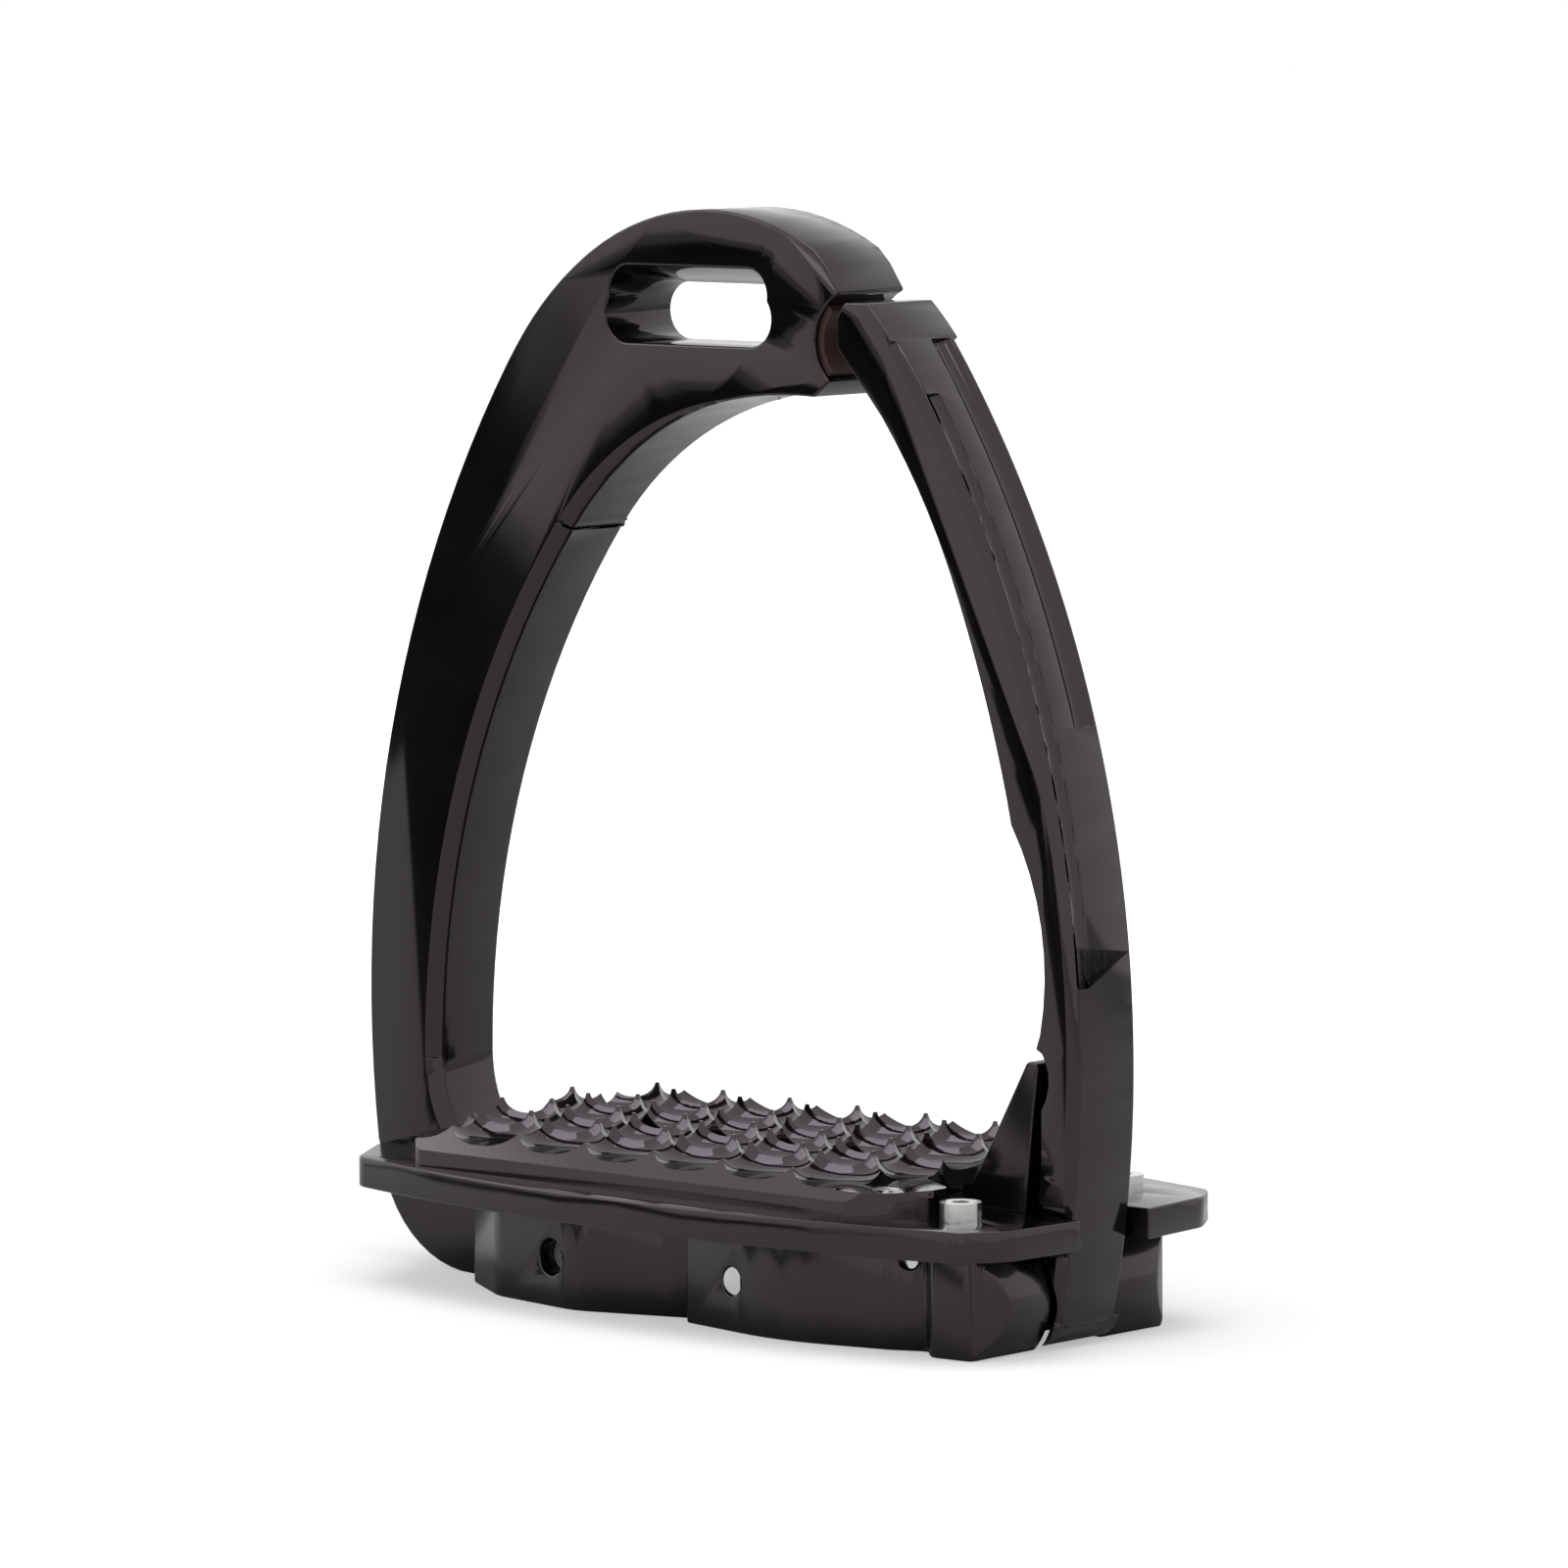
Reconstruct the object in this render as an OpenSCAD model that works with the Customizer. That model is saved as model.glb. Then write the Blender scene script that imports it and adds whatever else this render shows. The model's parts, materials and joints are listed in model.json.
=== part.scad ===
// Safety stirrup iron with a hinged outer arm and a trigger lever.
//
// The origin is on the ground under the middle of the tread, half way through
// the depth of the arms. X runs across the foot with the opening arm on +X,
// Y runs from the toe side (-Y) to the heel side (+Y), and Z is up.

/* [Overall] */
// Height from the flat bottom to the crown
overall_height = 161; // [155:1:168]
// Distance from the middle to the widest point of either arm
arm_reach = 69.6; // [67:0.1:72]
// Depth of the frame and of the outer arm
arm_depth = 14.45; // [12:0.05:16]
// Bevel along the inner edges of the frame
inner_bevel = 1.8; // [0.8:0.1:2.4]

/* [Crown] */
// Radius of the crown of the outline
crown_radius = 43.3; // [41:0.1:45]
// Radius of the shoulder of the outline
shoulder_radius = 53.7; // [50:0.1:58]
// Radius of the long side of the outline
side_radius = 175; // [168:1:182]
// Width of the slot for the stirrup leather
eye_width = 32.5; // [27:0.5:33]
// Height of the slot for the stirrup leather
eye_height = 8.4; // [7:0.1:9.5]
// Rise of the slot towards the toe side, where the leather leaves it
eye_flare = 2.9; // [1:0.1:3.5]
// Height of the middle of the slot
eye_level = 145.4; // [144.5:0.1:146]

/* [Tread] */
// Thickness of the platform
platform_t = 4.5; // [3.5:0.1:5.5]
// Greatest depth of the platform, toe to heel
platform_depth = 69.4; // [66:0.2:72]
// Thickness of the tread plate under its scallops
tread_t = 3.9; // [3.2:0.1:4.5]
// Height of the spikes above the scallop floors
spike_height = 4; // [3:0.1:4.5]
// Distance between neighbouring scallops
scallop_pitch = 13.44; // [12.8:0.02:14]
// Half-width of the flat left on each spike tip
tip_land = 0.16; // [0.1:0.02:0.4]
// Length of the slot through the tread
tread_slot_length = 48; // [40:1:52]
// Width of the slot through the tread
tread_slot_width = 5; // [4:0.1:6]

/* [Base] */
// Height of the base block under the platform
base_height = 15.05; // [14.6:0.05:16]
// Depth of the base block over its bulges
base_depth = 47; // [44:0.5:50]

/* [Hinge] */
// Distance of the hinge from the middle
hinge_x = 55; // [54:0.1:56]
// Height of the hinge above the bottom
hinge_z = 7.4; // [7.2:0.05:7.7]
// Radius of the rounded end of the base around the hinge
knuckle_radius = 10.3; // [10:0.05:10.6]
// Diameter of the hinge pin
hinge_pin_d = 5; // [4.5:0.1:5.4]
// Width of the tongue of the outer arm
tongue_width = 9; // [8:0.1:9.4]
// Radius of the closing cam at its low side
cam_low = 5; // [4.9:0.05:5.2]
// Rise of the closing cam over a quarter turn
cam_rise = 1.5; // [1:0.1:1.6]

/* [Trigger] */
// Distance of the lever pivot from the middle
pivot_x = 49; // [48.7:0.1:49.2]
// Height of the lever pivot
pivot_z = 13.4; // [13.2:0.1:13.6]
// Diameter of the lever pin
lever_pin_d = 3; // [2.6:0.1:3.2]
// Height of the tip of the lever
lever_top = 41.4; // [39:0.2:42]
// Width of the lever
lever_width = 14; // [13:0.1:14.2]

/* [Spring gear] */
// Diameter of the plunger
plunger_d = 5; // [4.5:0.1:5.4]
// Diameter of the bore for the plunger's collar and spring
spring_bore_d = 8.2; // [8:0.1:8.8]
// Wire of the plunger spring
spring_wire = 0.9; // [0.7:0.05:1]
// Number of working coils of the plunger spring
spring_coils = 7; // [5:1:9]
// Distance of the cross pin and of the set screw from the middle
side_hole_x = 18; // [16:0.5:19]
// Diameter of the cross pin
cross_pin_d = 4; // [3.6:0.1:4.4]

/* [Fits] */
// Running clearance on a radius
run_gap = 0.05; // [0.02:0.01:0.08]
// Free gap between moving faces
free_gap = 0.3; // [0.2:0.05:0.4]

/* [Hidden] */
$fn = 64;

black = "#2a272b";
steel = "#c9c9cc";
half_depth = arm_depth / 2;
platform_z = base_height;
tread_z = platform_z + platform_t;
floor_z = tread_z + tread_t;
tip_z = floor_z + spike_height;
hinge = [hinge_x, hinge_z];

// ---- plane geometry ----

// Points along an arc about c from angle a0 to a1
function arc(c, r, a0, a1, n = 12) =
    [for (i = [0:n]) c + r * [cos(a0 + (a1 - a0) * i / n), sin(a0 + (a1 - a0) * i / n)]];

// Centre of the arc of radius r1 that continues an arc (c0, r0) smoothly at angle a
function next_centre(c0, r0, r1, a) = c0 + (r0 - r1) * [cos(a), sin(a)];

function unit(v) = v / norm(v);

// Arc that rounds corner b between a and c with radius r
function corner(a, b, c, r, n = 8) =
    let (u = unit(a - b), v = unit(c - b),
         half = acos(u * v) / 2,
         m = b + unit(u + v) * r / sin(half),
         p = b + u * r / tan(half) - m,
         q = b + v * r / tan(half) - m,
         a0 = atan2(p[1], p[0]),
         turn = atan2(p[0] * q[1] - p[1] * q[0], p * q))
    [for (i = [0:n]) m + r * [cos(a0 + turn * i / n), sin(a0 + turn * i / n)]];

// Outline through corners given as [x, y, rounding radius]
function rounded(k) =
    [for (i = [0:len(k) - 1])
        let (p = k[(i + len(k) - 1) % len(k)], q = k[i], r = k[(i + 1) % len(k)])
        each q[2] > 0 ? corner([p[0], p[1]], [q[0], q[1]], [r[0], r[1]], q[2]) : [[q[0], q[1]]]];

function mirrored_x(points) = [for (p = points) [-p[0], p[1]]];

// ---- solid helpers ----

// Extrudes an outline drawn in X and Z by the depth d, centred on Y
module across(d, y = 0) {
    translate([0, y + d / 2, 0])
        rotate([90, 0, 0])
            linear_extrude(height = d, convexity = 8)
                children();
}

// Cylinder along Y between y0 and y1
module rod_y(x, z, d, y0, y1) {
    translate([x, y0, z])
        rotate([-90, 0, 0])
            cylinder(d = d, h = y1 - y0);
}

// Cylinder along X between x0 and x1
module rod_x(x0, x1, d, y, z) {
    translate([x0, y, z])
        rotate([0, 90, 0])
            cylinder(d = d, h = x1 - x0);
}

// Turns a section drawn as [radius, -y] about an axis along Y through c
module swept(c, a0, a1) {
    translate([c[0], 0, c[1]])
        rotate([90, 0, 0])
            rotate([0, 0, a0])
                rotate_extrude(angle = a1 - a0, $fn = 180)
                    children();
}

// One round spring of wire w, coil diameter d and n turns along +Z from 0 to h
function coil_centre(t, d, h, n) =
    [d / 2 * cos(360 * n * t), d / 2 * sin(360 * n * t), h * t];

module coil(d, w, h, n) {
    rings = 8 * n;
    sides = 6;
    climb = atan(h / (n * PI * d));
    points = [
        for (i = [0:rings])
            let (t = i / rings, a = 360 * n * t, c = coil_centre(t, d, h, n))
                for (j = [0:sides - 1])
                    let (b = 360 * j / sides)
                        c + w / 2 * [
                            cos(b) * cos(a) + sin(b) * sin(climb) * sin(a),
                            cos(b) * sin(a) - sin(b) * sin(climb) * cos(a),
                            sin(b) * cos(climb)
                        ]
    ];
    walls = [
        for (i = [0:rings - 1], j = [0:sides - 1])
            let (k = (j + 1) % sides, p = i * sides)
                each [[p + j, p + sides + j, p + sides + k], [p + j, p + sides + k, p + k]]
    ];
    start_cap = [for (j = [1:sides - 2]) [0, j, j + 1]];
    last = rings * sides;
    end_cap = [for (j = [1:sides - 2]) [last, last + j + 1, last + j]];
    polyhedron(points, concat(walls, start_cap, end_cap), convexity = 10);
}

// ---- outline shared by the frame and the outer arm ----

crown_to_shoulder = 122;
shoulder_to_side = 145.5;
crown_centre = [0, overall_height - crown_radius];
shoulder_centre = next_centre(crown_centre, crown_radius, shoulder_radius, crown_to_shoulder);
side_aligned = next_centre(shoulder_centre, shoulder_radius, side_radius, shoulder_to_side);
side_centre = [side_radius - arm_reach, side_aligned[1]];

function outline_crown(a0) = arc(crown_centre, crown_radius, a0, crown_to_shoulder, 16);
function outline_side(a0, a1) = concat(
    arc(shoulder_centre, shoulder_radius, a0, shoulder_to_side - 1, 7),
    arc(side_centre, side_radius, shoulder_to_side + 0.6, a1, 24));

// ---- frame: inner arm, crown with eye, nose and foot ----

foot_corner_r = 18.9;
foot_end = -10;
inner_face = -56.05;
inner_fillet_r = 18;
inner_level = 32;
inner_side_r = 132.8;
inner_shoulder_r = 54.8;
inner_crown_r = 73.4;
shoulder_start = 142.4;
crown_start = 96.4;
crown_end = 87;
inner_side_c = [inner_face + inner_side_r, inner_level];
inner_shoulder_c = next_centre(inner_side_c, inner_side_r, inner_shoulder_r, shoulder_start);
inner_crown_c = next_centre(inner_shoulder_c, inner_shoulder_r, inner_crown_r, crown_start);
// Bevel on the shoulder: a cone off centre, so that it runs out at the crown
fade_end = 98;
fade_shift = inner_bevel / (1 - cos(shoulder_start - fade_end));
fade_c = inner_shoulder_c + fade_shift * [cos(shoulder_start), sin(shoulder_start)];
fade_r = inner_shoulder_r + inner_bevel - fade_shift - 0.06;
fillet_c = [inner_face + inner_fillet_r, inner_level];
recess_c = [28.5, overall_height - 18.5];
recess_r = 7.4;
nose_x = 25.7;
recess_top = 180 - acos((recess_c[0] - nose_x) / recess_r);
recess_low = 231;

// Lower lip of the nose: the end of the crown's arc and the start of the recess
lip = inner_crown_c + inner_crown_r * [cos(crown_end), sin(crown_end)];
recess_start = recess_c + recess_r * [cos(recess_low), sin(recess_low)];
// How far the plain outline stays inside the opening that the sectors clear
rough = 8;

function foot_line() =
    let (a = 180 + asin((inner_level - tread_z) / inner_fillet_r))
    fillet_c + inner_fillet_r * [cos(a), sin(a)];

function frame_outline() = concat(
    [[nose_x, recess_c[1] + recess_r * sin(recess_top) + 0.4], [23.2, overall_height - 7.6]],
    outline_crown(61),
    outline_side(crown_to_shoulder + 2, 187),
    arc([-arm_reach + 1.8 + foot_corner_r, foot_corner_r], foot_corner_r, 186, 270, 12),
    [[foot_end, 0], [foot_end, platform_z], [foot_line()[0], platform_z], foot_line()],
    [fillet_c + rough * [cos(200), sin(200)]],
    [for (a = [174, 158, 145]) inner_side_c + (inner_side_r - rough) * [cos(a), sin(a)]],
    [for (a = [135, 115, 98]) inner_shoulder_c + (inner_shoulder_r - rough) * [cos(a), sin(a)]],
    [lip - 0.4 * (recess_start - lip)],
    arc(recess_c, recess_r, recess_low, recess_top, 12));

eye_x = -3.7;
eye_step = 0.4;

// Slot with round ends, drawn smaller all round by the inset
module eye_outline(inset) {
    r = eye_height / 2 - inset;
    reach = (eye_width - eye_height) / 2 - inset;
    translate([eye_x - reach, eye_level - r])
        square([2 * reach, 2 * r]);
    for (x = [eye_x - reach, eye_x + reach])
        translate([x, eye_level])
            circle(r, $fn = 48);
}

// Sector that clears the foot opening out to radius r, with a bevel b at both faces
module opening_sector(c, r, a0, a1, b) {
    over = half_depth + 1;
    swept(c, a0, a1)
        polygon([
            [0, -over], [r + b + 1, -over], [r + b, -half_depth], [r, b - half_depth],
            [r, half_depth - b], [r + b, half_depth], [r + b + 1, over], [0, over]
        ]);
}

module foot_hole_places() {
    for (x = [-42, -26])
        translate([x, 0, 0])
            children();
}

foot_screw_d = 4;
foot_screw_head_d = 7;
foot_screw_head_h = 4;
dowel_d = 4;
dowel_x = -34;
dowel_depth = 4;

module frame() {
    tilt = atan((eye_flare + eye_step) / arm_depth);
    color(black)
        difference() {
            across(arm_depth)
                polygon(frame_outline());
            across(arm_depth + 2)
                eye_outline(0);
            translate([0, half_depth, eye_level])
                rotate([-tilt, 0, 0])
                    translate([0, -half_depth, -eye_level])
                        across(arm_depth + 8)
                            eye_outline(eye_step);
            opening_sector(fillet_c, inner_fillet_r, 178, 228, inner_bevel);
            opening_sector(inner_side_c, inner_side_r, shoulder_start, 180, inner_bevel);
            opening_sector(inner_shoulder_c, inner_shoulder_r, crown_start - 2, shoulder_start + 2, 0);
            opening_sector(inner_crown_c, inner_crown_r, crown_end - 1, crown_start, 0);
            swept(fade_c, fade_end - 6, shoulder_start + 2)
                for (s = [-1, 1])
                    polygon([
                        [fade_r - 3, s * (half_depth - 3)],
                        [fade_r + 1, s * (half_depth + 1)],
                        [fade_r - 3, s * (half_depth + 1)]
                    ]);
            foot_hole_places() {
                translate([0, 0, -1])
                    cylinder(d = foot_screw_head_d + 0.6, h = foot_screw_head_h + 1.5);
                cylinder(d = foot_screw_d + 0.4, h = base_height + 1);
            }
            translate([dowel_x, 0, base_height - dowel_depth])
                cylinder(d = dowel_d, h = dowel_depth + 1);
        }
}

// Soft liner in the recess of the nose
pad_t = 1.1;

module nose_pad() {
    color("#3a1a12")
        across(arm_depth - 1.6)
            polygon(concat(
                arc(recess_c, recess_r - 0.02, recess_low - 8, recess_top + 24, 12),
                arc(recess_c, recess_r - pad_t, recess_top + 24, recess_low - 8, 12)));
}

// ---- base block ----

base_half = base_depth / 2;
channel_gap = 0.02;
clevis_half = half_depth + 0.1;
clevis_wall = 45;
boss_x = 57.5;
boss_y = 18;
boss_grip = 3.8;
heel_screw_x = -36;
heel_screw_y = 13;
heel_grip = 8;

// Toe-side half of the block's plan, from the foot round to the hinge end
function base_half_plan() = [
    [-46, -half_depth, 0], [-43, -13, 6], [-31, 3 - base_half, 9], [-13, -base_half, 12],
    [1, 4.5 - base_half, 5], [5.5, 6 - base_half, 0.6], [7.5, 2.5 - base_half, 1.2],
    [28, -base_half - 1.2, 40], [46, 2.8 - base_half, 8], [51.5, 5.2 - base_half, 1.6],
    [55, 1.6 - base_half, 2.5], [62.5, 2.2 - base_half, 3.5],
    [hinge_x + knuckle_radius + 0.5, 8 - base_half, 3]
];

module base_plan() {
    h = base_half_plan();
    polygon(rounded(concat(h, [for (i = [len(h) - 1:-1:0]) [h[i][0], -h[i][1], h[i][2]]])));
}

module base_side() {
    translate([-60, 0])
        square([60 + hinge_x, base_height]);
    intersection() {
        translate(hinge)
            circle(knuckle_radius, $fn = 96);
        translate([hinge_x - 20, 0])
            square([40, base_height]);
    }
}

set_screw_d = 5;
plunger_wall = 41.5;

module base_block() {
    color(black)
        difference() {
            intersection() {
                linear_extrude(height = base_height, convexity = 6)
                    base_plan();
                across(base_depth + 10)
                    base_side();
            }
            translate([-60, -half_depth - channel_gap, -1])
                cube([60 + foot_end + channel_gap, arm_depth + 2 * channel_gap, base_height + 2]);
            translate([clevis_wall, -clevis_half, -1])
                cube([40, 2 * clevis_half, base_height + 2]);
            rod_x(foot_end - 1, plunger_wall, spring_bore_d, 0, hinge_z);
            rod_x(plunger_wall - 1, clevis_wall + 1, plunger_d + 2 * run_gap, 0, hinge_z);
            rod_y(hinge_x, hinge_z, hinge_pin_d + 0.02, -hinge_pin_front, base_half + 2);
            rod_y(pivot_x, pivot_z, lever_pin_d + 0.02, -base_half - 2, base_half + 2);
            rod_y(side_hole_x, hinge_z, cross_pin_d + 0.02, -base_half - 3, base_half + 3);
            rod_y(-side_hole_x, hinge_z, set_screw_d + 0.3, -base_half - 3, 0);
            for (s = [-1, 1]) {
                rod_x(lever_spring_seat, clevis_wall + 1, lever_spring_bore, s * leg_mid, toe_z);
                translate([boss_x, s * boss_y, base_height - boss_grip - 0.2])
                    cylinder(d = platform_screw_d, h = boss_grip + 2);
                translate([heel_screw_x, s * heel_screw_y, base_height - heel_grip - 0.2])
                    cylinder(d = platform_screw_d, h = heel_grip + 2);
            }
            translate([hinge_x, -hinge_lock_y, -1])
                cylinder(d = hinge_lock_d, h = hinge_z);
        }
}

// ---- platform ----

platform_left = -62.5;
platform_right = 71;
platform_mid = 8;
platform_bow = 245;
platform_screw_d = 3.5;
platform_head_d = 6;

function bow_y(x) = platform_depth / 2 - platform_bow
    + sqrt(platform_bow * platform_bow - (x - platform_mid) * (x - platform_mid));

function platform_half_plan() = concat(
    [[platform_left, 0, 0], [platform_left + 0.6, 10, 0], [-60.5, 15.5, 4], [-53.5, bow_y(-53.5), 5]],
    [for (x = [-42:12:58]) [x, bow_y(x), 0]],
    [[65.5, bow_y(65.5), 4], [69.6, 21.5, 6], [platform_right, half_depth, 0], [platform_right, 0, 0]]);

module platform_plan() {
    h = platform_half_plan();
    polygon(rounded(concat(h, [for (i = [len(h) - 2:-1:1]) [h[i][0], -h[i][1], h[i][2]]])));
}

module platform_screw_places() {
    for (s = [-1, 1]) {
        translate([boss_x, s * boss_y, tread_z])
            children();
        translate([heel_screw_x, s * heel_screw_y, tread_z - 2.6])
            children();
    }
}

module platform() {
    color(black)
        difference() {
            translate([0, 0, platform_z])
                linear_extrude(height = platform_t, convexity = 6)
                    platform_plan();
            translate([platform_left - 10, -half_depth - channel_gap, platform_z - 1])
                cube([foot_line()[0] + channel_gap - platform_left + 10,
                      arm_depth + 2 * channel_gap, platform_t + 2]);
            translate([clevis_wall, -clevis_half - 0.2, platform_z - 1])
                cube([40, 2 * clevis_half + 0.4, platform_t + 2]);
            foot_hole_places()
                translate([0, 0, platform_z - 1])
                    cylinder(d = foot_screw_d, h = platform_t + 2);
            translate([dowel_x, 0, platform_z - 1])
                cylinder(d = dowel_d, h = platform_t);
            platform_screw_places()
                translate([0, 0, -platform_t - 1])
                    cylinder(d = platform_screw_d + 0.3, h = platform_t + 2);
            for (s = [-1, 1])
                translate([-36, s * 13, tread_z - 2.6])
                    cylinder(d = platform_head_d + 0.4, h = 4);
            tread_screw_places()
                translate([0, 0, -tread_t - platform_t - 1])
                    cylinder(d = tread_screw_d, h = platform_t + 2);
        }
}

// ---- tread plate with its spikes ----

row_pitch = scallop_pitch * sqrt(3) / 2;
scallop_r = scallop_pitch / sqrt(3) - tip_land;
cutter_corner = spike_height + 0.4;
lattice_x = 5.3;
tread_left = -45;
tread_right = 53;
tread_front = 28.4;
tread_slot_x = 1;
tread_screw_d = 2.4;
tread_head_d = 4;

// Plan with a notch at the lever end
function tread_half_plan() = [
    [tread_left, 0, 0], [tread_left, 22, 3], [tread_left + 5, tread_front, 3],
    [45, tread_front, 4], [50.5, 25, 4], [tread_right, 19, 3], [tread_right, 15.5, 2],
    [44, 10, 3], [42.5, 0, 0]
];

module tread_plan() {
    h = tread_half_plan();
    polygon(rounded(concat(h, [for (i = [len(h) - 2:-1:1]) [h[i][0], -h[i][1], h[i][2]]])));
}

// Bull-nosed cutter that leaves a concave flank, with its origin on the tip level
module scallop() {
    flat_r = scallop_r - cutter_corner;
    rotate_extrude($fn = 48) {
        translate([0, -spike_height])
            square([flat_r, spike_height + 1]);
        intersection() {
            translate([flat_r, cutter_corner - spike_height])
                circle(cutter_corner, $fn = 48);
            translate([0, -spike_height])
                square([scallop_r + 1, cutter_corner]);
        }
        translate([0, cutter_corner - spike_height])
            square([scallop_r, 1]);
    }
}

module scallop_field() {
    for (j = [-3:3], i = [-4:4])
        translate([lattice_x + (i + (abs(j) % 2 == 1 ? 0 : 0.5)) * scallop_pitch, j * row_pitch, tip_z])
            scallop();
}

module tread_screw_places() {
    for (x = [tread_left + 5.5, 46.5], s = [-1, 1])
        translate([x, s * 21.5, floor_z])
            children();
}

module tread_slot() {
    r = tread_slot_width / 2;
    translate([tread_slot_x, 0, tread_z - 1])
        linear_extrude(height = tip_z - tread_z + 2) {
            square([tread_slot_length - 2 * r, 2 * r], center = true);
            for (s = [-1, 1])
                translate([s * (tread_slot_length / 2 - r), 0])
                    circle(r, $fn = 32);
        }
}

module tread() {
    color(black)
        difference() {
            translate([0, 0, tread_z])
                linear_extrude(height = tip_z - tread_z, convexity = 6)
                    tread_plan();
            scallop_field();
            // Long edges bevelled from just above the floor
            for (s = [-1, 1])
                translate([0, s * tread_front, floor_z - 1.4])
                    rotate([s * 40, 0, 0])
                        translate([-60, s > 0 ? 0 : -10, 0])
                            cube([130, 10, 12]);
            // Flat corners and ends at the floor level
            for (s = [-1, 1]) {
                translate([tread_right - 11, s * 20 - 8, floor_z])
                    cube([20, 16, 10]);
                translate([tread_left - 8, s * 22 - 8, floor_z])
                    cube([12.5, 16, 10]);
            }
            tread_slot();
            tread_screw_places() {
                translate([0, 0, -tread_t - 1])
                    cylinder(d = tread_screw_d + 0.3, h = tread_t + 2);
                translate([0, 0, -1.6])
                    cylinder(d = tread_head_d + 0.3, h = 4);
            }
        }
}

// ---- screws, dowels and pins of the base ----

module socket_screw(d, length, head_d, head_h, socket) {
    difference() {
        union() {
            cylinder(d = head_d, h = head_h);
            translate([0, 0, -length])
                cylinder(d = d, h = length + 0.5);
        }
        translate([0, 0, head_h - 0.6 * head_h])
            cylinder(d = socket, h = head_h, $fn = 6);
    }
}

module tread_screws() {
    color(steel)
        tread_screw_places()
            translate([0, 0, -1.6])
                socket_screw(tread_screw_d - 0.05, tread_t + 2, tread_head_d, 1.5, 1.6);
}

module platform_screws() {
    color(steel)
        for (s = [-1, 1]) {
            translate([boss_x, s * boss_y, tread_z])
                socket_screw(platform_screw_d - 0.05, platform_t + boss_grip,
                             platform_head_d, 2.6, 2.8);
            translate([heel_screw_x, s * heel_screw_y, tread_z - 2.6])
                socket_screw(platform_screw_d - 0.05, platform_t - 2.6 + heel_grip,
                             platform_head_d, 2.5, 2.8);
        }
}

module foot_screws() {
    color(steel)
        foot_hole_places()
            translate([0, 0, foot_screw_head_h + 0.5])
                mirror([0, 0, 1])
                    socket_screw(foot_screw_d - 0.05, base_height - 1.5,
                                 foot_screw_head_d, foot_screw_head_h, 3.2);
}

module foot_dowels() {
    color(steel)
        translate([dowel_x, 0, base_height - dowel_depth])
            cylinder(d = dowel_d - 0.02, h = dowel_depth + platform_t - 1.2);
}

module foot_set_screw() {
    color(steel)
        difference() {
            rod_y(-side_hole_x, hinge_z, set_screw_d, -half_depth - 12, -half_depth);
            translate([-side_hole_x, -half_depth - 9, hinge_z])
                rotate([90, 0, 0])
                    cylinder(d = 2.9, h = 5, $fn = 6);
        }
}

module cross_pin() {
    color(steel)
        rod_y(side_hole_x, hinge_z, cross_pin_d, 1.2 - base_half, base_half - 1.2);
}

// ---- outer arm ----

arm_top = overall_height - 12.8;
arm_top_angle = 180 - asin((arm_top - shoulder_centre[1]) / shoulder_radius);
arm_side_r = 203.7;
arm_side_c = [62.7 - arm_side_r, 30.6];
arm_head_r = 101.8;
arm_head_c = next_centre(arm_side_c, arm_side_r, arm_head_r, 22.8);
waist_c = [23.7, 53.6];
waist_r = 40.2;
pocket_top = lever_top + 1.6;
arm_inner = 63.2;

function arm_outline() = concat(
    mirrored_x(outline_side(arm_top_angle, 191)),
    [[66, 4.2], [65, 2], [63, 0.5], [60.5, 2.4], [60.5, 16]],
    [[arm_inner - 0.4, 21], [arm_inner, 26], [arm_inner, pocket_top - 9]],
    arc([arm_inner - 5.6, pocket_top - 4.3], 7, -36, 34, 6),
    [[62.3, pocket_top + 0.2]],
    arc(waist_c, waist_r, -12, 32, 8),
    arc(arm_side_c, arm_side_r, 13.6, 22.8, 8),
    arc(arm_head_c, arm_head_r, 24, 37.5, 6),
    [[25.4, 141.6], [25.4, arm_top - 2.2], [26.8, arm_top]]);

// Archimedean cam: its radius grows evenly from the follower's side downwards
module cam_outline() {
    polygon(concat(
        [for (a = [180:5:275]) (cam_low + cam_rise * (a - 180) / 90) * [cos(a), sin(a)]],
        [[4, 3.2 - hinge_z], [11, 3.2 - hinge_z], [11, 4.2], [4, 4.2]],
        [for (a = [80:10:170]) cam_low * [cos(a), sin(a)]]));
}

bush_d = 6.4;

module outer_arm() {
    tongue_half = tongue_width / 2;
    outer_c = [-side_centre[0], side_centre[1]];
    color(black)
        difference() {
            union() {
                difference() {
                    across(arm_depth)
                        polygon(arm_outline());
                    across(arm_depth + 2)
                        translate(hinge)
                            circle(knuckle_radius + free_gap, $fn = 96);
                    // Relief in the inner corners where the arm passes the platform
                    for (s = [-1, 1])
                        translate([60, s * (half_depth + 1) - 2, platform_z - 1.2])
                            cube([7.4, 4, platform_t + 2.6]);
                }
                across(tongue_width)
                    translate(hinge)
                        cam_outline();
            }
            rod_y(hinge_x, hinge_z, bush_d, -tongue_half - 1, tongue_half + 1);
            // Narrow groove along the toe side of the outer face
            swept(outer_c, 4, 33)
                translate([side_radius + 0.5, 4.5])
                    circle(1.4, $fn = 24);
            // Wide groove along the heel side of the outer face
            swept(outer_c, 16, 36)
                translate([side_radius + 1, -3.2])
                    circle(2.4, $fn = 24);
            // Bevels along the outer edges
            swept(outer_c, -12, 36)
                for (s = [-1, 1])
                    polygon([
                        [side_radius + 1, s * (half_depth - 2.3)],
                        [side_radius + 1, s * (half_depth + 1)],
                        [side_radius - 2.3, s * (half_depth + 1)]
                    ]);
        }
}

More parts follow.
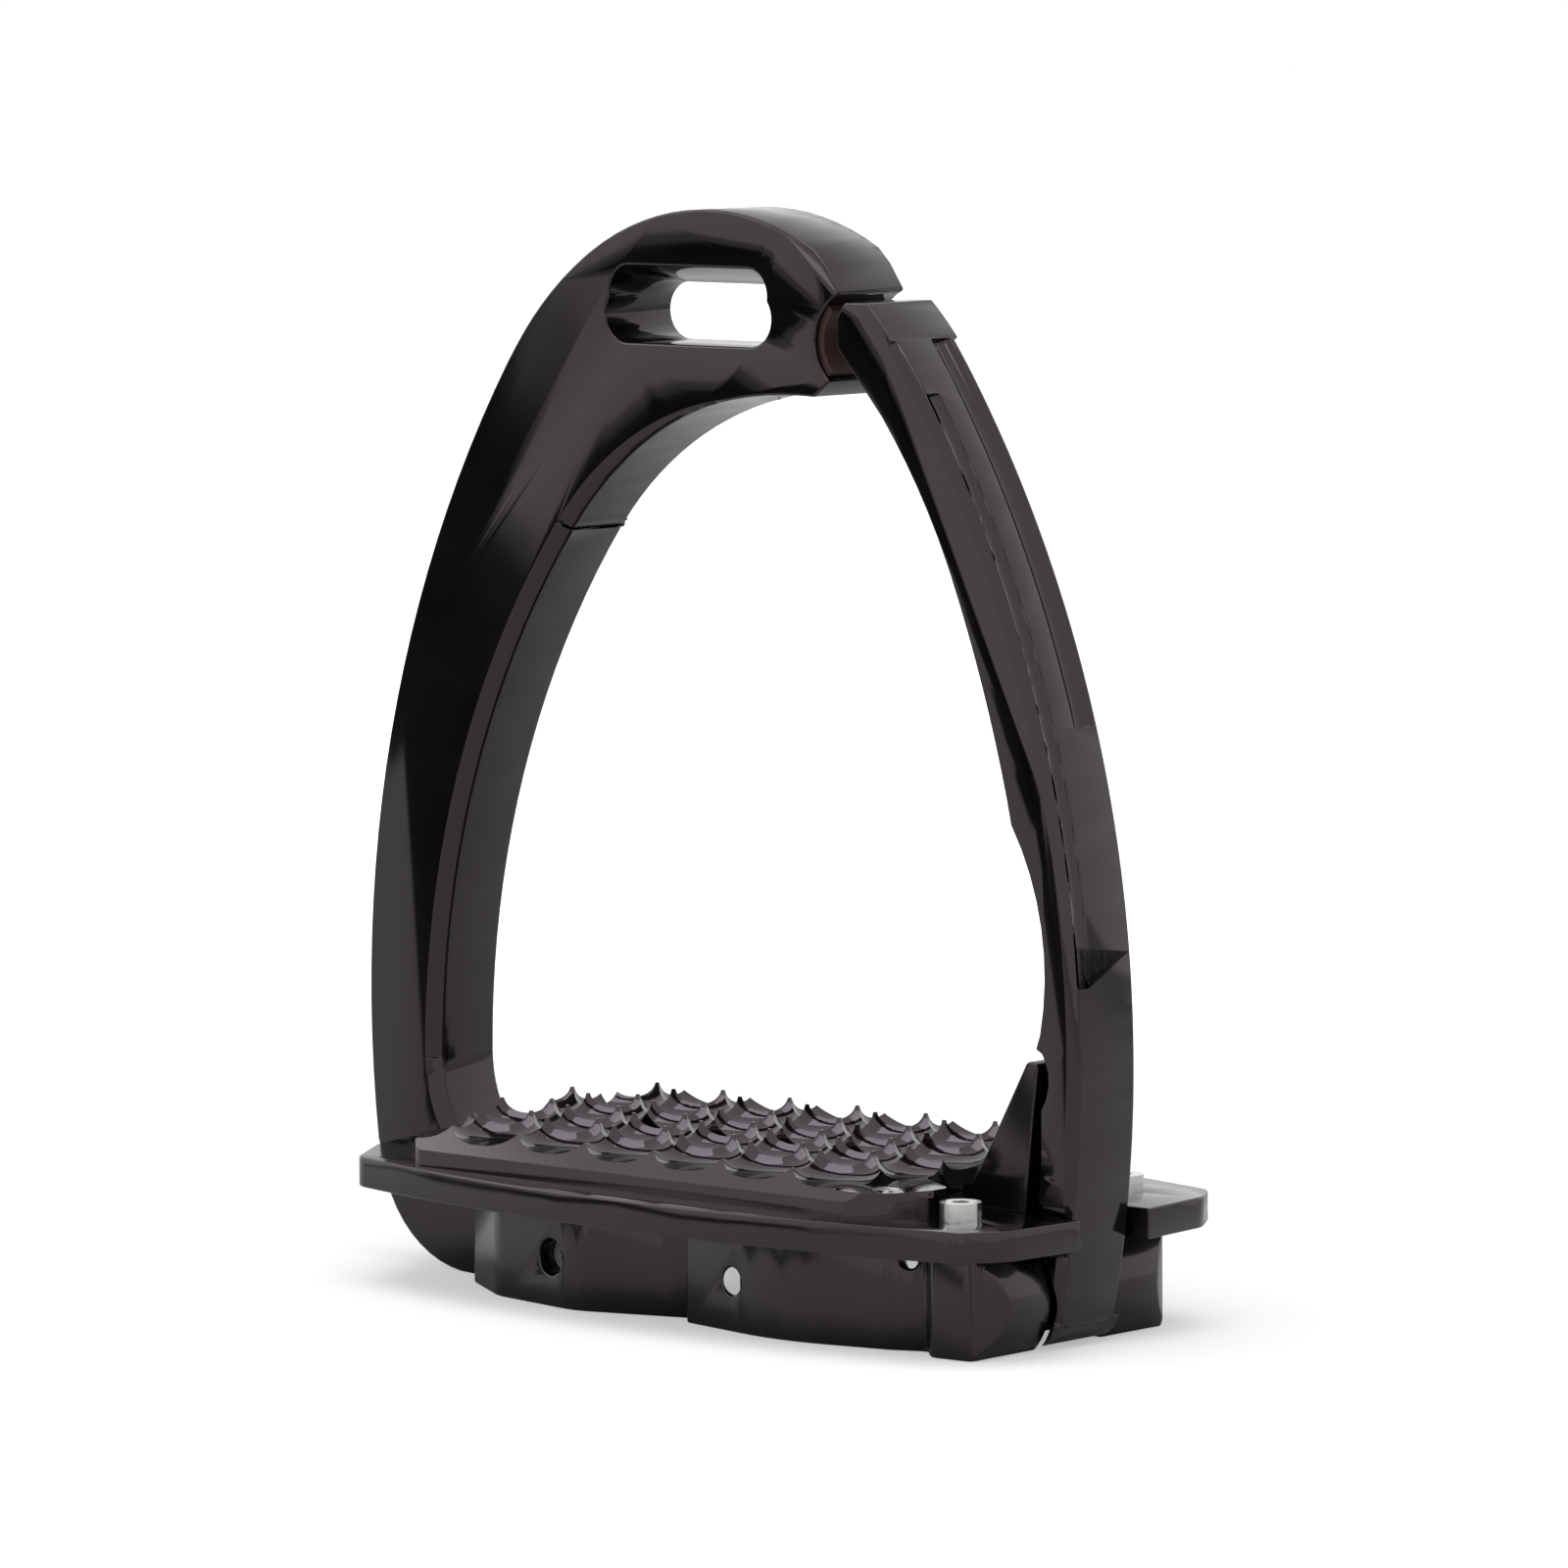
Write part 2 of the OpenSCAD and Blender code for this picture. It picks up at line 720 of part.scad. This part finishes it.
module hub_bushes() {
    color("#b08d57")
        for (s = [-1, 1])
            difference() {
                rod_y(hinge_x, hinge_z, bush_d - 0.02, s > 0 ? 0.1 : -tongue_width / 2,
                      s > 0 ? tongue_width / 2 : -0.1);
                rod_y(hinge_x, hinge_z, hinge_pin_d + 2 * run_gap, -tongue_width, tongue_width);
            }
}

// ---- hinge hardware ----

hinge_pin_front = 15;
hinge_lock_y = 11;
hinge_lock_d = 3;
spacer_d = 8;

module hinge_pin() {
    color(steel)
        difference() {
            rod_y(hinge_x, hinge_z, hinge_pin_d, 0.2 - hinge_pin_front, base_half - 3.2);
            rod_y(hinge_x, hinge_z, 2.6, base_half - 5.5, base_half);
        }
}

module hinge_spacers() {
    color(steel)
        for (s = [-1, 1])
            difference() {
                rod_y(hinge_x, hinge_z, spacer_d, s > 0 ? tongue_width / 2 + 0.05 : 0.05 - clevis_half,
                      s > 0 ? clevis_half - 0.05 : -tongue_width / 2 - 0.05);
                rod_y(hinge_x, hinge_z, hinge_pin_d + 0.1, -clevis_half - 1, clevis_half + 1);
            }
}

module hinge_pin_lock() {
    color(steel)
        translate([hinge_x, -hinge_lock_y, 0.6])
            difference() {
                cylinder(d = hinge_lock_d - 0.02, h = hinge_z - hinge_pin_d / 2 - 0.62);
                translate([0, 0, -1])
                    cylinder(d = 1.6, h = 2.6, $fn = 6);
            }
}

// ---- trigger lever ----

leg_inner = tongue_width / 2 + 0.4;
leg_mid = (leg_inner + lever_width / 2) / 2;
toe_z = hinge_z + 0.6;

function lever_outline() = rounded([
    [60.6, lever_top, 0.9], [62.6, lever_top - 0.4, 0.7], [61.6, lever_top - 8, 0],
    [59.9, 18, 1], [56.5, 16.2, 2], [pivot_x + 3, pivot_z - 1.6, 1.5], [pivot_x + 1.1, toe_z - 1.8, 0.5],
    [pivot_x - 1.8, toe_z - 1.8, 0.5], [pivot_x - 3.4, pivot_z - 0.5, 2], [pivot_x - 1.4, 19.5, 3],
    [52, 25.8, 8]
]);

module trigger_lever() {
    color(black)
        difference() {
            across(lever_width)
                polygon(lever_outline());
            translate([pivot_x - 10, -leg_inner, 0])
                cube([30, 2 * leg_inner, tread_z + 0.4]);
            rod_y(pivot_x, pivot_z, lever_pin_d + 2 * run_gap, -lever_width, lever_width);
        }
}

module lever_pin() {
    color(steel)
        rod_y(pivot_x, pivot_z, lever_pin_d, 4.4 - base_half, base_half - 4.4);
}

lever_spring_bore = 3;
lever_spring_seat = 37;
toe_face = pivot_x - 2.1;

module lever_springs() {
    color(steel)
        for (s = [-1, 1])
            translate([lever_spring_seat + 0.25, s * leg_mid, toe_z])
                rotate([0, 90, 0])
                    coil(2.2, 0.4, toe_face - lever_spring_seat - 0.7, 7);
}

// ---- plunger that closes the arm ----

collar_x = plunger_wall - 3;
seat_x = side_hole_x + cross_pin_d / 2;
seat_t = 2.5;

module plunger() {
    color(steel) {
        rod_x(collar_x, hinge_x - cam_low - 0.15, plunger_d, 0, hinge_z);
        rod_x(collar_x - 1.6, collar_x, spring_bore_d - 2 * run_gap, 0, hinge_z);
        rod_x(collar_x - 6, collar_x, 4, 0, hinge_z);
    }
}

module plunger_spring() {
    start = seat_x + seat_t + spring_wire / 2 + 0.05;
    finish = collar_x - 1.6 - spring_wire / 2 - 0.05;
    color(steel)
        translate([start, 0, hinge_z])
            rotate([0, 90, 0])
                coil(spring_bore_d - 1.2 - spring_wire, spring_wire, finish - start, spring_coils);
}

module spring_seat() {
    color(steel) {
        rod_x(seat_x, seat_x + seat_t, spring_bore_d - 2 * run_gap, 0, hinge_z);
        rod_x(seat_x, seat_x + seat_t + 3, 4, 0, hinge_z);
    }
}

coil_pitch = (collar_x - 1.6 - seat_x - seat_t - spring_wire) / spring_coils;
echo(least_gap_plunger_spring = coil_pitch - spring_wire);
echo(least_gap_lever_springs = (toe_face - lever_spring_seat - 0.7) / 7 - 0.4);

frame();
nose_pad();
base_block();
platform();
tread();
tread_screws();
platform_screws();
foot_screws();
foot_dowels();
foot_set_screw();
cross_pin();
outer_arm();
hub_bushes();
hinge_pin();
hinge_spacers();
hinge_pin_lock();
trigger_lever();
lever_pin();
lever_springs();
plunger();
plunger_spring();
spring_seat();
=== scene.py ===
# %% [markdown]
# # Dressing a safety stirrup iron
#
# The imported model gives the exact solids and the bodies that move. This script
# gives each of them the finish of the real thing: black anodised aluminium that
# was milled, tumbled and dyed, polished steel pins, and one soft pad. The pad fills
# a gap that lies in shade, and its very dark red-brown colour is painted shade. We
# work in metres, in the model's own frame: X across the foot, Y from toe to heel, Z up.

# %% Load the fixed frame
import math

import bpy
import bmesh
import numpy as np
from mathutils import Matrix, Vector
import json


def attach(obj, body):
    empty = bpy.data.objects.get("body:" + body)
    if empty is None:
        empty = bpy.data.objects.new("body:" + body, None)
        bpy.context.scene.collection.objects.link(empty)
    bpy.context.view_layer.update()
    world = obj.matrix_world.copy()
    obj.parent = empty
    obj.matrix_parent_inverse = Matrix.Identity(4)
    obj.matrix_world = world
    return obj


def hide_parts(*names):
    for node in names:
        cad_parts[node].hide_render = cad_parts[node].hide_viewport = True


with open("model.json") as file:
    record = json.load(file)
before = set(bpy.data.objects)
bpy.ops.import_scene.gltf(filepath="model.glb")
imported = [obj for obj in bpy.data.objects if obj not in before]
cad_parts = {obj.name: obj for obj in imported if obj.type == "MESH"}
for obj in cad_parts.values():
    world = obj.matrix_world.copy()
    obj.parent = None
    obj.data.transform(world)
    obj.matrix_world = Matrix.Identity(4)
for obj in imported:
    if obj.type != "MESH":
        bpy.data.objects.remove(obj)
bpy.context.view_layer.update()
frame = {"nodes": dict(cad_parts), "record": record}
NODES = frame["nodes"]
MM = 0.001

# %% [markdown]
# ## The camera
#
# The iron is seen from its toe side, well round towards the opening arm, almost
# at its own height, through a long lens. A long lens keeps the two arms nearly
# parallel. We write the camera as a place, a point that it looks at and a small
# roll, and build its matrix from three unit vectors.

# %% Place the camera
LENS = 209.86
EYE = Vector((0.8936, -0.9905, 0.2113))
TARGET = Vector((0.0083, 0.0, 0.0771))
ROLL = math.radians(-0.32)


def camera_matrix(eye, target, roll):
    """Columns are right, up and backwards, with right and up turned by the roll."""
    forward = (target - eye).normalized()
    right = forward.cross(Vector((0, 0, 1))).normalized()
    up = right.cross(forward)
    right_r = math.cos(roll) * right + math.sin(roll) * up
    up_r = -math.sin(roll) * right + math.cos(roll) * up
    turn = Matrix((right_r, up_r, -forward)).transposed()
    return Matrix.Translation(eye) @ turn.to_4x4()


camera_data = bpy.data.cameras.new("camera")
camera_data.lens = LENS
camera_data.sensor_width = 36
camera_data.clip_end = 50
camera = bpy.data.objects.new("camera", camera_data)
camera.matrix_world = camera_matrix(EYE, TARGET, ROLL)
bpy.context.scene.collection.objects.link(camera)
bpy.context.scene.camera = camera
print("camera is", round((EYE - TARGET).length, 3), "m away")

# %% [markdown]
# ## The room
#
# Polished black metal has almost no colour of its own, so what we see on it is
# the room. The room is a white tent: a pale floor and a white world that camera
# and glossy rays both see. Diffuse rays get less from the world, because the
# softboxes light the matt surfaces.

# %% Build the world and the floor
scene = bpy.context.scene
scene.view_settings.view_transform = "Standard"


def build_world(seen=1.0, diffuse=0.35):
    """Strength is 'seen' for camera, glossy and transmitted rays and 'diffuse' for the rest."""
    world = bpy.data.worlds.new("white_tent")
    world.use_nodes = True
    tree = world.node_tree
    background = tree.nodes["Background"]
    background.inputs["Color"].default_value = (1, 1, 1, 1)
    path = tree.nodes.new("ShaderNodeLightPath")
    first = tree.nodes.new("ShaderNodeMath")
    first.operation = "MAXIMUM"
    second = tree.nodes.new("ShaderNodeMath")
    second.operation = "MAXIMUM"
    strength = tree.nodes.new("ShaderNodeMapRange")
    strength.inputs["To Min"].default_value = diffuse
    strength.inputs["To Max"].default_value = seen
    tree.links.new(path.outputs["Is Camera Ray"], first.inputs[0])
    tree.links.new(path.outputs["Is Glossy Ray"], first.inputs[1])
    tree.links.new(first.outputs[0], second.inputs[0])
    tree.links.new(path.outputs["Is Transmission Ray"], second.inputs[1])
    tree.links.new(second.outputs[0], strength.inputs["Value"])
    tree.links.new(strength.outputs["Result"], background.inputs["Strength"])
    bpy.context.scene.world = world


def card(name, centre, side, up, width, height):
    """A flat rectangle with its middle at the centre, as four corners along two unit vectors."""
    side, up, centre = Vector(side).normalized(), Vector(up).normalized(), Vector(centre)
    corners = [centre + a * side * width / 2 + b * up * height / 2
               for a, b in ((-1, -1), (1, -1), (1, 1), (-1, 1))]
    mesh = bpy.data.meshes.new(name)
    mesh.from_pydata([tuple(c) for c in corners], [], [(0, 1, 2, 3)])
    obj = bpy.data.objects.new(name, mesh)
    bpy.context.scene.collection.objects.link(obj)
    return obj


def plain_material(name, colour, roughness=0.9):
    material = bpy.data.materials.new(name)
    material.use_nodes = True
    shader = material.node_tree.nodes["Principled BSDF"]
    shader.inputs["Base Color"].default_value = (*colour, 1)
    shader.inputs["Roughness"].default_value = roughness
    shader.inputs["Specular IOR Level"].default_value = 0.1
    return material


def floor_material(name, near=0.16, far=0.42, fill=0.42, glow=1.1):
    """Pale matt floor; camera rays also see fill + (glow - fill) s((r - near) / (far - near)).

    r is the distance to the middle of the floor and s(t) = 3t^2 - 2t^3, held at 0 and 1 outside.
    """
    material = plain_material(name, (0.94, 0.94, 0.94))
    tree = material.node_tree
    where = tree.nodes.new("ShaderNodeTexCoord")
    length = tree.nodes.new("ShaderNodeVectorMath")
    length.operation = "LENGTH"
    tree.links.new(where.outputs["Object"], length.inputs[0])
    fade = tree.nodes.new("ShaderNodeMapRange")
    fade.interpolation_type = "SMOOTHSTEP"
    fade.inputs["From Min"].default_value = near
    fade.inputs["From Max"].default_value = far
    fade.inputs["To Min"].default_value = fill
    fade.inputs["To Max"].default_value = glow
    tree.links.new(length.outputs["Value"], fade.inputs["Value"])
    path = tree.nodes.new("ShaderNodeLightPath")
    seen = tree.nodes.new("ShaderNodeMath")
    seen.operation = "MULTIPLY"
    tree.links.new(fade.outputs["Result"], seen.inputs[0])
    tree.links.new(path.outputs["Is Camera Ray"], seen.inputs[1])
    shader = tree.nodes["Principled BSDF"]
    shader.inputs["Emission Color"].default_value = (1, 1, 1, 1)
    tree.links.new(seen.outputs[0], shader.inputs["Emission Strength"])
    return material


build_world()
floor = card("floor", (0, 0, 0), (1, 0, 0), (0, 1, 0), 12, 12)
floor.data.materials.append(floor_material("pale_floor"))
print("floor and world are in")

# %% [markdown]
# ## Softboxes and flags
#
# Two large softboxes give the matt surfaces their light. Where the polished faces
# should go dark, photographers stand a black card, a flag, in the direction that
# the face mirrors. The flat toe-side face of the inner arm mirrors the floor to
# the left of the camera, so a flag lies there.

# %% Hang the lamps and the flags
def softbox(name, place, target, width, height, watts):
    """An area lamp at a place, turned so that its -Z axis meets the target."""
    data = bpy.data.lights.new(name, "AREA")
    data.shape = "RECTANGLE"
    data.size, data.size_y = width, height
    data.energy = watts
    lamp = bpy.data.objects.new(name, data)
    lamp.location = place
    lamp.rotation_euler = (Vector(target) - Vector(place)).to_track_quat("-Z", "Y").to_euler()
    bpy.context.scene.collection.objects.link(lamp)
    return lamp


def flag(name, centre, side, up, width, height):
    """A black card that reflections see and the camera doesn't."""
    obj = card(name, centre, side, up, width, height)
    obj.data.materials.append(plain_material(name + "_black", (0.004, 0.004, 0.004), 1.0))
    obj.visible_camera = False
    obj.visible_diffuse = False
    obj.visible_shadow = False
    return obj


softbox("top_softbox", (0.2, -0.3, 1.5), (0, 0, 0.05), 1.2, 1.2, 9)
softbox("left_softbox", (-1.3, -0.9, 0.9), (0, 0, 0.08), 0.9, 0.9, 4)
INNER_ARM_X = -0.06
LEFT_FRONT = Vector((-0.7, -0.714, 0))
ACROSS = Vector((0.714, -0.7, 0))
FLAG_WIDTH = 0.9
flag("floor_flag", Vector((INNER_ARM_X, 0, 0.001)) + LEFT_FRONT * 0.75, ACROSS, LEFT_FRONT,
     FLAG_WIDTH, 0.62)
flag("low_flag", Vector((INNER_ARM_X, 0, 0.036)) + LEFT_FRONT * 1.06, ACROSS, (0, 0, 1),
     FLAG_WIDTH, 0.074)

# %% [markdown]
# ## Black anodising
#
# Anodising turns the skin of aluminium into clear hard oxide that is dyed black.
# The colour is nearly nothing; what we see is the mirror on top of it. So the
# shader is a dielectric with a high index, a very dark faintly purple colour and
# a roughness that wanders a little. Milling leaves fine parallel lines, which we
# add as a very shallow bump on object coordinates. Steel and rubber use the same
# wandering noise for their tone.

# %% Make the anodised finishes
NOISE_SPAN = (0.3, 0.7)
DYE_DARK, DYE_LIGHT = (0.0035, 0.0030, 0.0036), (0.0075, 0.0062, 0.0072)
OXIDE_TINT = (1.0, 0.86, 0.97, 1)
WIDE_PATTERN = (50, 50, 50)
MOULD_GRAIN = (2500, 2500, 2500)
GRAIN_DEPTH = 0.02 * MM
# Places of the two colours and of the result among a Mix node's sockets
FIRST_COLOUR, SECOND_COLOUR, MIXED_COLOUR = 6, 7, 2


def principled(name):
    material = bpy.data.materials.new(name)
    material.use_nodes = True
    tree = material.node_tree
    return material, tree, tree.nodes["Principled BSDF"]


def scaled_coordinates(tree, scale):
    """Object coordinates stretched by a different factor along each axis."""
    where = tree.nodes.new("ShaderNodeTexCoord")
    stretch = tree.nodes.new("ShaderNodeMapping")
    stretch.inputs["Scale"].default_value = scale
    tree.links.new(where.outputs["Object"], stretch.inputs["Vector"])
    return stretch.outputs["Vector"]


def wandering(tree, vector, low, high, detail=3.0, scale=1.0):
    """Noise n in the span (a, b) mapped to low + (high - low)(n - a)/(b - a)."""
    noise = tree.nodes.new("ShaderNodeTexNoise")
    noise.inputs["Scale"].default_value = scale
    noise.inputs["Detail"].default_value = detail
    tree.links.new(vector, noise.inputs["Vector"])
    spread = tree.nodes.new("ShaderNodeMapRange")
    spread.inputs["From Min"].default_value = NOISE_SPAN[0]
    spread.inputs["From Max"].default_value = NOISE_SPAN[1]
    spread.inputs["To Min"].default_value = low
    spread.inputs["To Max"].default_value = high
    tree.links.new(noise.outputs["Fac"], spread.inputs["Value"])
    return spread.outputs["Result"]


def mixed(tree, factor, first, second):
    """The colour first (1 - f) + second f, where f is a socket."""
    mix = tree.nodes.new("ShaderNodeMix")
    mix.data_type = "RGBA"
    mix.inputs[FIRST_COLOUR].default_value = (*first, 1)
    mix.inputs[SECOND_COLOUR].default_value = (*second, 1)
    tree.links.new(factor, mix.inputs[0])
    return mix.outputs[MIXED_COLOUR]


def anodised(name, roughness=(0.07, 0.12), lines=(900, 40, 900), bump=0.04, index=1.55):
    """Dark dielectric: roughness wanders on a 20 mm scale, the bump is stretched noise."""
    material, tree, shader = principled(name)
    shader.inputs["Metallic"].default_value = 0.0
    shader.inputs["IOR"].default_value = index
    shader.inputs["Specular Tint"].default_value = OXIDE_TINT
    wide = scaled_coordinates(tree, WIDE_PATTERN)
    tree.links.new(wandering(tree, wide, *roughness), shader.inputs["Roughness"])
    patches = wandering(tree, wide, 0, 1, scale=1.7)
    tree.links.new(mixed(tree, patches, DYE_DARK, DYE_LIGHT), shader.inputs["Base Color"])
    grain = tree.nodes.new("ShaderNodeBump")
    grain.inputs["Strength"].default_value = bump
    grain.inputs["Distance"].default_value = GRAIN_DEPTH
    height = wandering(tree, scaled_coordinates(tree, lines), 0, 1, 2.0)
    tree.links.new(height, grain.inputs["Height"])
    tree.links.new(grain.outputs["Normal"], shader.inputs["Normal"])
    return material


def metal(name, colour, roughness, lines=(400, 80, 400)):
    """Bare metal: its tone, from 85 to 100 % of the colour, and its roughness wander together."""
    material, tree, shader = principled(name)
    shader.inputs["Metallic"].default_value = 1.0
    vector = scaled_coordinates(tree, lines)
    tone = mixed(tree, wandering(tree, vector, 0, 1), [c * 0.85 for c in colour], colour)
    tree.links.new(tone, shader.inputs["Base Color"])
    tree.links.new(wandering(tree, vector, *roughness), shader.inputs["Roughness"])
    return material


def rubber(name, colour):
    """Matt elastomer with a fine mould grain."""
    material, tree, shader = principled(name)
    grain = scaled_coordinates(tree, MOULD_GRAIN)
    tone = mixed(tree, wandering(tree, grain, 0, 1), [c * 0.7 for c in colour], colour)
    tree.links.new(tone, shader.inputs["Base Color"])
    tree.links.new(wandering(tree, grain, 0.45, 0.6), shader.inputs["Roughness"])
    return material


FINISH = {
    "frame_black": anodised("frame_black"),
    "base_black": anodised("base_black", roughness=(0.12, 0.18), lines=(60, 60, 900), index=1.58),
    "platform_black": anodised("platform_black", roughness=(0.1, 0.15), lines=(60, 60, 900),
                               index=1.6),
    "tread_black": anodised("tread_black", roughness=(0.06, 0.1), lines=(700, 700, 700),
                            bump=0.02, index=1.7),
    "arm_black": anodised("arm_black", roughness=(0.06, 0.1), lines=(60, 900, 60), index=1.6),
    "lever_black": anodised("lever_black", roughness=(0.12, 0.18), lines=(900, 900, 60),
                            index=1.58),
    "fastener_steel": metal("fastener_steel", (0.78, 0.77, 0.75), (0.18, 0.3)),
    "pin_steel": metal("pin_steel", (0.82, 0.81, 0.8), (0.1, 0.2)),
    "spring_steel": metal("spring_steel", (0.6, 0.6, 0.62), (0.2, 0.3)),
    "bush_bronze": metal("bush_bronze", (0.55, 0.4, 0.22), (0.3, 0.4)),
    # The pad fills a gap that lies in shade; its very dark red-brown colour is painted shade
    # taken from that gap.
    "pad_rubber": rubber("pad_rubber", (0.05, 0.016, 0.01)),
}
print("finishes:", len(FINISH))

# %% [markdown]
# ## Softening the edges
#
# A machined edge is never a perfect line: it is broken with a small chamfer, and
# that chamfer is what catches the light. We copy each solid, join its loose
# triangles back into flat faces, and let a Bevel modifier round what is sharper
# than a set angle. The copy then stands for the solid.

# %% Dress the machined parts
SLOT_OF = {s["node"]: s["material_slot"] for s in frame["record"]["subparts"]}
BODIES = frame["record"]["behaviour"]["bodies"]
BODY_OF = {name: body for body, names in BODIES.items() for name in names}
MERGE_DISTANCE = 0.002 * MM
FLAT_ANGLE = math.radians(0.4)


def merged_copy(node, name):
    """A copy of a node's mesh with its corners joined and its flat areas made whole."""
    mesh = NODES[node].data.copy()
    mesh.name = name
    work = bmesh.new()
    work.from_mesh(mesh)
    bmesh.ops.remove_doubles(work, verts=work.verts, dist=MERGE_DISTANCE)
    bmesh.ops.dissolve_limit(work, angle_limit=FLAT_ANGLE, verts=work.verts, edges=work.edges)
    work.to_mesh(mesh)
    work.free()
    obj = bpy.data.objects.new(name, mesh)
    bpy.context.scene.collection.objects.link(obj)
    return obj


def dress(node, edge, angle=28, segments=3):
    """The merged copy with every edge over 'angle' degrees rounded to the radius 'edge'."""
    obj = merged_copy(node, node + "_finished")
    obj.data.materials.clear()
    obj.data.materials.append(FINISH[SLOT_OF[node]])
    obj.data.polygons.foreach_set("use_smooth", np.ones(len(obj.data.polygons), bool))
    bevel = obj.modifiers.new("broken_edges", "BEVEL")
    bevel.width = edge
    bevel.segments = segments
    bevel.limit_method = "ANGLE"
    bevel.angle_limit = math.radians(angle)
    bevel.use_clamp_overlap = False
    bevel.harden_normals = True
    bevel.miter_outer = "MITER_ARC"
    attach(obj, BODY_OF[node])
    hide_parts(node)
    return obj


EDGES = {"frame": 0.35 * MM, "base_block": 0.4 * MM, "platform": 0.3 * MM,
         "outer_arm": 0.25 * MM, "trigger_lever": 0.25 * MM}
for node, edge in EDGES.items():
    piece = dress(node, edge)
    print(node, "has", len(piece.data.polygons), "flat faces")

# %% Give every other node its finish
for name, obj in NODES.items():
    if name in EDGES:
        continue
    obj.data.materials.clear()
    obj.data.materials.append(FINISH[SLOT_OF[name]])
print("finished nodes:", len(NODES) - len(EDGES))
